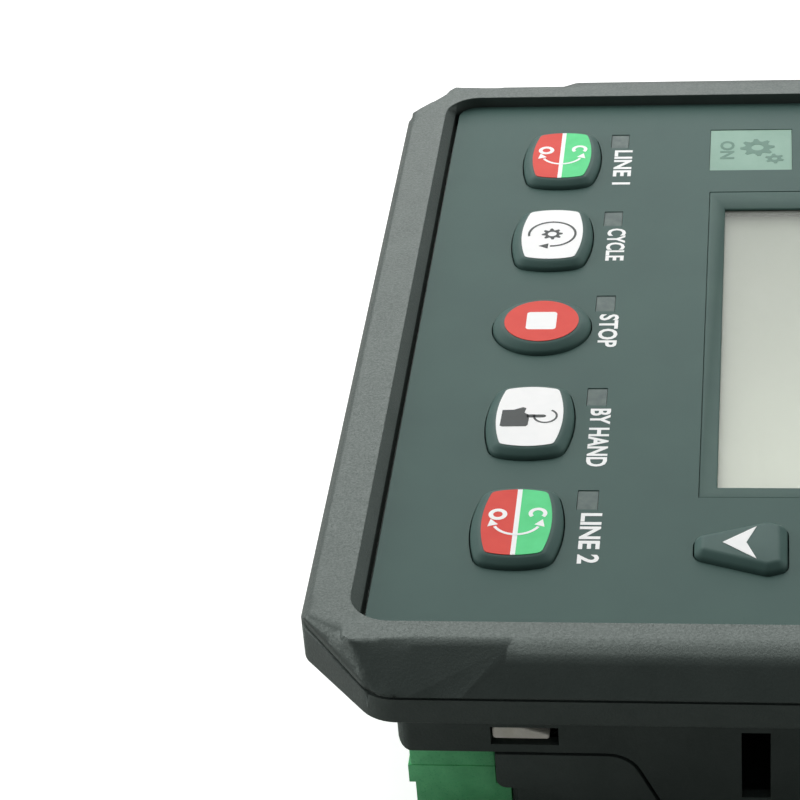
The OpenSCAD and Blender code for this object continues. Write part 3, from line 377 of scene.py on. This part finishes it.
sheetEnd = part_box("front_sheet")[1] / mm
bezel = {  # all in mm, heights from the rest plane and places from the middle
    # rounding of the opening's lip, the borders, the rim, the land beside the pads, and below the roof
    "lip": 0.5, "border": 0.7, "rim": 0.25, "land": 1.5, "backEdge": 0.4, "caseEdge": 0.25,
    # half size of the opening, a height just above its floor, and where the land, pads and borders end
    "opening": (sheetEnd.x + 0.5, sheetEnd.y + 3.35), "floor": 47.3,
    "landEdge": 113.0, "padEdge": 117.5, "borderEdge": 90.0,
    # height of the bezel's back edge, half length of the case, and the bezel's overhang beyond it
    "back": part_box("panel_gasket")[0].z / mm + 0.8, "case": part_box("rear_cover")[1].x / mm, "overhang": 5,
    # where each cut corner starts and ends, and the height of the fine groove's upper edge there
    "cut": (103.0, 122.5), "groove": (46.7, 44.0),
    # the settled zones: inner corner, outer ends, cells, gap at which points join, and smoothing passes
    "zone": (97.0, 68.0), "outline": (124.0, 93.0), "cell": 1.0, "join": 0.35, "passes": 4,
    "rise": 0.7,  # points this far above the groove settle, the lower ones hold the outline
    "stub": 0.3,  # shorter edges of the roof are closed up, because they would hold the rounding back
    "sharp": 40, "faint": 8,  # degrees from which an edge is rounded, below the roof and on it
    # greatest upward share of a normal on the lip's and the rim's walls, and least one on the roof
    "steep": 0.65, "upright": 0.05, "down": -0.1,
    # bands round the opening and the zones, height above the groove, what counts as level, and a wide margin
    "lipBand": 0.4, "zoneBand": 0.3, "above": 0.1, "level": 0.05, "margin": 3,
}


# Height of the fine groove's upper edge, which falls along each cut corner
def grooveTop(p):
    share = (abs(p.x) - bezel["cut"][0]) / (bezel["cut"][1] - bezel["cut"][0])
    return bezel["groove"][0] + min(max(share, 0), 1) * (bezel["groove"][1] - bezel["groove"][0])


def inOpening(p, band=0.0):
    return abs(p.x) < bezel["opening"][0] + band and abs(p.y) < bezel["opening"][1] + band


# Tells whether a point is in the zone of the cut corners and the rounded outline beside them
def inZone(p):
    x, y = bezel["zone"]
    return abs(p.x) > x - bezel["zoneBand"] and abs(p.y) > y - bezel["zoneBand"]


# The roof is all of the bezel above the fine groove, without the opening's floor
def onRoof(p):
    return p.z > grooveTop(p) - bezel["level"] and not (inOpening(p) and p.z < bezel["floor"])


# Faces of the roof clear of the lip, or only those in the corners' zones
def roofFaces(shape, zoned):
    found = [f for f in shape.faces
             if f.normal.z > bezel["down"] and all(onRoof(v.co / mm) for v in f.verts)]
    middles = [(f, f.calc_center_median() / mm) for f in found]
    return [f for f, p in middles if not inOpening(p, bezel["lipBand"]) and (inZone(p) or not zoned)]


# Tells the opening's lip, the rim, the land's edges, those along the borders, and the hips left sharp
def roofKind(edge):
    for face in edge.link_faces:
        inside = inOpening(face.calc_center_median() / mm)
        if inside and abs(face.normal.z) < bezel["steep"]:
            return "lip"
        if not inside and abs(face.normal.z) < bezel["upright"]:
            return "rim"
    a, b = (v.co / mm for v in edge.verts)
    if min(abs(a.x), abs(b.x)) > bezel["landEdge"] and max(abs(a.x), abs(b.x)) < bezel["padEdge"]:
        return "land" if min(abs(a.y), abs(b.y)) < bezel["opening"][1] - bezel["margin"] else "hip"
    return "border" if abs(a.y - b.y) < bezel["level"] and abs(a.y) > bezel["borderEdge"] else "hip"


# Edges of one kind on the roof; the lip is whole, the other kinds stop at the corners' zones
def roofEdges(shape, kind):
    found = convexEdges(shape, bezel["faint"], lambda p: onRoof(p) and p.z > grooveTop(p) + bezel["above"])
    middles = [(e, (e.verts[0].co + e.verts[1].co) / 2 / mm) for e in found if roofKind(e) == kind]
    return [e for e, p in middles if kind == "lip" or not inZone(p)]


# Cuts the faces that a plane across an axis crosses
def cutAcross(shape, faces, axis, place):
    point, normal = Vector((0, 0, 0)), Vector((0, 0, 0))
    point[axis], normal[axis] = place * mm, 1
    crossed = [f for f in faces
               if min(v.co[axis] for v in f.verts) < point[axis] < max(v.co[axis] for v in f.verts)]
    parts = {g for f in crossed for g in (*f.verts, *f.edges)}
    bmesh.ops.bisect_plane(shape, geom=[*crossed, *parts], dist=welding["cut"] * mm,
                           plane_co=point, plane_no=normal)


# Cuts the roof at the four corners into small cells and lets them settle into one soft surface
def settleCorners(shape):
    for axis in (0, 1):
        inner = bezel["zone"][axis]
        for i in range(1, int((bezel["outline"][axis] - inner) / bezel["cell"])):
            for side in (-1, 1):
                cutAcross(shape, roofFaces(shape, True), axis, side * (inner + i * bezel["cell"]))
    points = {v for f in roofFaces(shape, True) for v in f.verts}
    ordered = sorted(points, key=lambda v: [round(c / mm, 2) for c in v.co])  # every run joins the same ones
    bmesh.ops.remove_doubles(shape, verts=ordered, dist=bezel["join"] * mm)
    bmesh.ops.triangulate(shape, faces=roofFaces(shape, True))
    cells = set(roofFaces(shape, True))
    free = [v for v in {v for f in cells for v in f.verts} if all(f in cells for f in v.link_faces)
            and v.co.z / mm > grooveTop(v.co / mm) + bezel["rise"]]
    for _ in range(bezel["passes"]):
        bmesh.ops.smooth_vert(shape, verts=free, factor=0.5,
                              use_axis_x=True, use_axis_y=True, use_axis_z=True)


def onBackEdge(p):
    outside = abs(p.x) > bezel["case"] + bezel["overhang"] or abs(p.y) > bezel["opening"][1]
    return outside and abs(p.z - bezel["back"]) < bezel["level"]


def onCaseEdge(p):
    return abs(abs(p.x) - bezel["case"]) < bezel["level"] and p.z < bezel["back"] - bezel["margin"]


# Each kind of edge is rounded in its own pass, because the shortest edge beside a pass limits all of it
def softenHousing():
    shape = weldedCopy("front_housing")
    stubs = [e for e in shape.edges
             if e.calc_length() < bezel["stub"] * mm and all(onRoof(v.co / mm) for v in e.verts)]
    bmesh.ops.dissolve_degenerate(shape, dist=bezel["stub"] * mm, edges=stubs)
    roundEdges(shape, roofEdges(shape, "lip"), bezel["lip"])
    for axis in (0, 1):
        for side in (-1, 1):
            cutAcross(shape, roofFaces(shape, False), axis, side * bezel["zone"][axis])
    roundEdges(shape, roofEdges(shape, "border"), bezel["border"])
    roundEdges(shape, roofEdges(shape, "rim"), bezel["rim"])
    roundEdges(shape, roofEdges(shape, "land"), bezel["land"], steps=4)
    settleCorners(shape)
    roundEdges(shape, convexEdges(shape, bezel["sharp"], onBackEdge), bezel["backEdge"])
    roundEdges(shape, convexEdges(shape, bezel["sharp"], onCaseEdge), bezel["caseEdge"], steps=2)
    for vert in shape.verts:
        vert.co.z = min(vert.co.z, cadBox[1].z)  # nothing rises past the piece as it was made
    housing = addPiece("soft_housing", shape, "case_plastic", "controller", ["front_housing"], crease=32)
    housing.modifiers.new("even shading", "WEIGHTED_NORMAL").keep_sharp = True


softenHousing()
print("housing softened")

softEdges = {  # plainer pieces: rounding in mm, its steps, and the angle from which an edge is rounded
    "rear_cover": (0.3, 2, 40), "display_surround": (0.35, 2, 20), "slot_sealant": (1.2, 4, 30),
    "terminal_plugs_low": (0.3, 2, 40), "terminal_plugs_up": (0.3, 2, 40),
    "terminal_sockets_low": (0.3, 2, 40), "terminal_sockets_up": (0.3, 2, 40),
}
for node, (radius, steps, angle) in softEdges.items():
    shape = weldedCopy(node)
    roundEdges(shape, convexEdges(shape, angle), radius, steps)
    addPiece("soft_" + node, shape, slotOf[node], "controller", [node], crease=32)
print("cover, terminals and surround softened")

softKeys = {
    "names": ["key_source_1", "key_auto", "key_off", "key_manual", "key_source_2",
              "key_up", "key_down", "key_confirm"],
    "brow": 0.5, "hem": 0.45, "wall": 0.8,  # rounding at the rim and the knee, the knee's height, in mm
    "angle": 15, "near": 0.05,  # degrees from which an edge is rounded, mm that its height may be off
}


def softenKey(node):
    shape = weldedCopy(node)
    top = max(v.co.z for v in shape.verts) / mm
    knee = faceTop / mm + softKeys["wall"]
    for height, radius in ((top, softKeys["brow"]), (knee, softKeys["hem"])):
        edges = convexEdges(shape, softKeys["angle"], lambda p: abs(p.z - height) < softKeys["near"])
        roundEdges(shape, edges, radius)
    addPiece("soft_" + node, shape, "key_plastic", bodyOf[node], [node], crease=40)


for node in softKeys["names"]:
    softenKey(node)
print("keys softened")


# Printed signs and words: plain generic ones, a hair above what they are printed on

ink = {
    "thick": 0.035, "lift": 0.004, "weld": 0.001,  # mm
    "leastSteps": 8, "stepAngle": 9,  # an arc's steps, and the degrees of each on a long one
}


# Bends a stroke out of one short edge, spun about its middle; angles count from +X to +Y
def arcStroke(middle, radius, width, start, sweep):
    shape = bmesh.new()
    ends = [shape.verts.new((middle[0] + r * math.cos(math.radians(start)),
                             middle[1] + r * math.sin(math.radians(start)), 0))
            for r in (radius - width / 2, radius + width / 2)]
    across = shape.edges.new(ends)
    bmesh.ops.spin(shape, geom=[*ends, across], cent=(*middle, 0), axis=(0, 0, 1), angle=math.radians(sweep),
                   steps=max(ink["leastSteps"], round(abs(sweep) / ink["stepAngle"])),
                   use_merge=abs(sweep) == 360)
    return shape


def flatPatches(*outlines):
    shape = bmesh.new()
    for points in outlines:
        shape.faces.new([shape.verts.new((x, y, 0)) for x, y in points])
    return shape


# Toothed wheel: an inner ring pulled out into a rim, every other pair of rim points into a tooth
def toothedWheel(middle, hole, root, tip, teeth):
    shape = bmesh.new()
    made = bmesh.ops.create_circle(shape, segments=teeth * 4, radius=hole)
    rims = list({e for v in made["verts"] for e in v.link_edges})
    grown = bmesh.ops.extrude_edge_only(shape, edges=rims)["geom"]
    outer = [v for v in grown if isinstance(v, bmesh.types.BMVert)]
    for v in outer:
        turn = math.atan2(v.co.y, v.co.x) / math.tau * teeth * 4
        reach = tip if round(turn) % 4 < 2 else root
        v.co = v.co.normalized() * reach
    bmesh.ops.translate(shape, verts=made["verts"] + outer, vec=(*middle, 0))
    return shape


# Gives a flat sign drawn in mm its thickness and lays it on the face at its place
def layInk(name, shape, place, height, slot, body, finish=None):
    bmesh.ops.remove_doubles(shape, verts=shape.verts[:], dist=ink["weld"])
    bmesh.ops.recalc_face_normals(shape, faces=shape.faces[:])
    bmesh.ops.reverse_faces(shape, faces=[f for f in shape.faces if f.normal.z < 0])
    grown = bmesh.ops.extrude_face_region(shape, geom=shape.faces[:], use_keep_orig=True)["geom"]
    bmesh.ops.translate(shape, verts=[g for g in grown if isinstance(g, bmesh.types.BMVert)],
                        vec=(0, 0, ink["thick"]))
    bmesh.ops.recalc_face_normals(shape, faces=shape.faces[:])
    matrix = Matrix.Translation((*place, height + ink["lift"] * mm)) @ Matrix.Scale(mm, 4)
    bmesh.ops.transform(shape, matrix=matrix, verts=shape.verts[:])
    addPiece(name, shape, slot, body, finish=finish)


# Middle of a piece seen from above, and the height of its top
def middleOf(node):
    lowest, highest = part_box(node)
    return ((lowest.x + highest.x) / 2, (lowest.y + highest.y) / 2), highest.z


changeOver = {  # strokes as middle, radius, width, start and sweep, in mm and degrees round the key's middle
    "ring": ((-2.4, -4.0), 1.45, 0.95, 0, 360), "open_ring": ((-2.8, 4.2), 1.5, 0.85, 48, 264),
    "arc": ((-0.65, 0.1), 5.05, 0.62, -62, 124),
    "heads": [((-0.8, -5.35), (1.75, -5.85), (1.0, -3.75)), ((-0.8, 5.35), (1.0, 3.75), (1.75, 5.85))],
}


# Ring, open ring and the two-headed arrow between them
def changeOverSign(side):
    at, _ = middleOf("key_" + side)
    _, top = middleOf(side + "_line")
    for part in ("ring", "open_ring", "arc"):
        layInk(side + "_" + part, arcStroke(*changeOver[part]), at, top, "print_white", side + "_key")
    layInk(side + "_arrow_heads", flatPatches(*changeOver["heads"]), at, top, "print_white", side + "_key")


changeOverSign("source_1")
changeOverSign("source_2")

autoSign = {  # a gear in a turning arrow
    "gear": ((0, 0), 1.05, 1.75, 2.5, 8),  # middle, hole, root, tip and teeth
    "loop": ((0, 0), 5.5, 0.55, -80, -282), "head": [(6.6, -0.7), (5.4, -2.9), (4.3, -0.6)],
}


def autoKeySign():
    at, _ = middleOf("key_auto")
    _, top = middleOf("auto_face")
    layInk("auto_gear", toothedWheel(*autoSign["gear"]), at, top, "link_black", "auto_key", "print_dark")
    layInk("auto_loop", arcStroke(*autoSign["loop"]), at, top, "link_black", "auto_key", "print_dark")
    layInk("auto_arrow_head", flatPatches(autoSign["head"]), at, top, "link_black", "auto_key", "print_dark")


autoKeySign()

handSign = {  # a plain pointing hand pressing a ring
    "palm": [(-2.2, -6.0), (3.7, -6.2), (4.0, -5.6), (3.9, -0.6), (3.4, -0.2), (0.9, -0.1), (-0.5, -0.3),
             (-1.2, -1.2), (-2.9, -0.9), (-3.3, -1.6), (-2.3, -3.6)],
    "finger": [(-0.55, -0.6), (0.6, -0.6), (0.55, 3.0), (0.3, 3.5), (-0.2, 3.5), (-0.5, 3.0)],
    "ring": ((0.0, 3.4), 2.45, 0.45, 150, -250),
}


def handKeySign():
    at, _ = middleOf("key_manual")
    _, top = middleOf("manual_face")
    for part in ("palm", "finger"):
        shape = flatPatches(handSign[part])
        layInk("manual_" + part, shape, at, top, "link_black", "manual_key", "print_dark")
    layInk("manual_ring", arcStroke(*handSign["ring"]), at, top, "link_black", "manual_key", "print_dark")


handKeySign()
print("key signs printed")

legends = {  # generic words beside the small windows: key, word and length in mm
    "words": [("source_1", "LINE 1", 17.0), ("auto", "CYCLE", 14.6), ("off", "STOP", 13.6),
              ("manual", "BY HAND", 21.5), ("source_2", "LINE 2", 17.0)],
    "corner": (-5.8, 12.8), "capital": 4.4, "bold": 0.028,  # lower left corner from the key's middle
}


# Text made a mesh first, then fitted to its length and capital height, then laid in place
def printWord(name, word, length, height, corner, top, slot, finish=None):
    curve = bpy.data.curves.new(name, "FONT")
    curve.body = word
    curve.offset = legends["bold"]
    curve.resolution_u = 3
    holder = bpy.data.objects.new(name + "_draft", curve)
    scene.collection.objects.link(holder)
    bpy.context.view_layer.update()
    data = bpy.data.meshes.new_from_object(holder.evaluated_get(bpy.context.evaluated_depsgraph_get()))
    bpy.data.objects.remove(holder)
    shape = bmesh.new()
    shape.from_mesh(data)
    xs = [v.co.x for v in shape.verts]
    ys = [v.co.y for v in shape.verts]
    bmesh.ops.translate(shape, verts=shape.verts[:], vec=(-min(xs), -min(ys), 0))
    bmesh.ops.scale(shape, verts=shape.verts[:],
                    vec=(length / (max(xs) - min(xs)), height / (max(ys) - min(ys)), 1))
    layInk(name, shape, corner, top, slot, "controller", finish)


# A place in mm from a middle in metres
def beside(middle, shift):
    return middle[0] + shift[0] * mm, middle[1] + shift[1] * mm


for key, word, length in legends["words"]:
    middle, _ = middleOf("key_" + key)
    printWord("legend_" + key, word, length, legends["capital"], beside(middle, legends["corner"]),
              faceTop, "print_white")

statusSign = {  # a gear, its pinion and a word, placed in mm from the window's middle
    "word": "ON", "length": 9.0, "capital": 3.6, "corner": (-4.6, -7.6),
    "gear": ((0, 0), 1.5, 3.1, 4.3, 8), "gearAt": (-1.2, 1.6),
    "pinion": ((0, 0), 0.7, 1.6, 2.4, 6), "pinionAt": (4.4, 5.8),
}


def printStatusSign():
    middle, top = middleOf("status_window")
    printWord("status_word", statusSign["word"], statusSign["length"], statusSign["capital"],
              beside(middle, statusSign["corner"]), top, "status_green", "print_moss")
    for name in ("gear", "pinion"):
        place = beside(middle, statusSign[name + "At"])
        layInk("status_" + name, toothedWheel(*statusSign[name]), place, top,
               "status_green", "controller", "print_moss")


printStatusSign()
print("words and status sign printed")
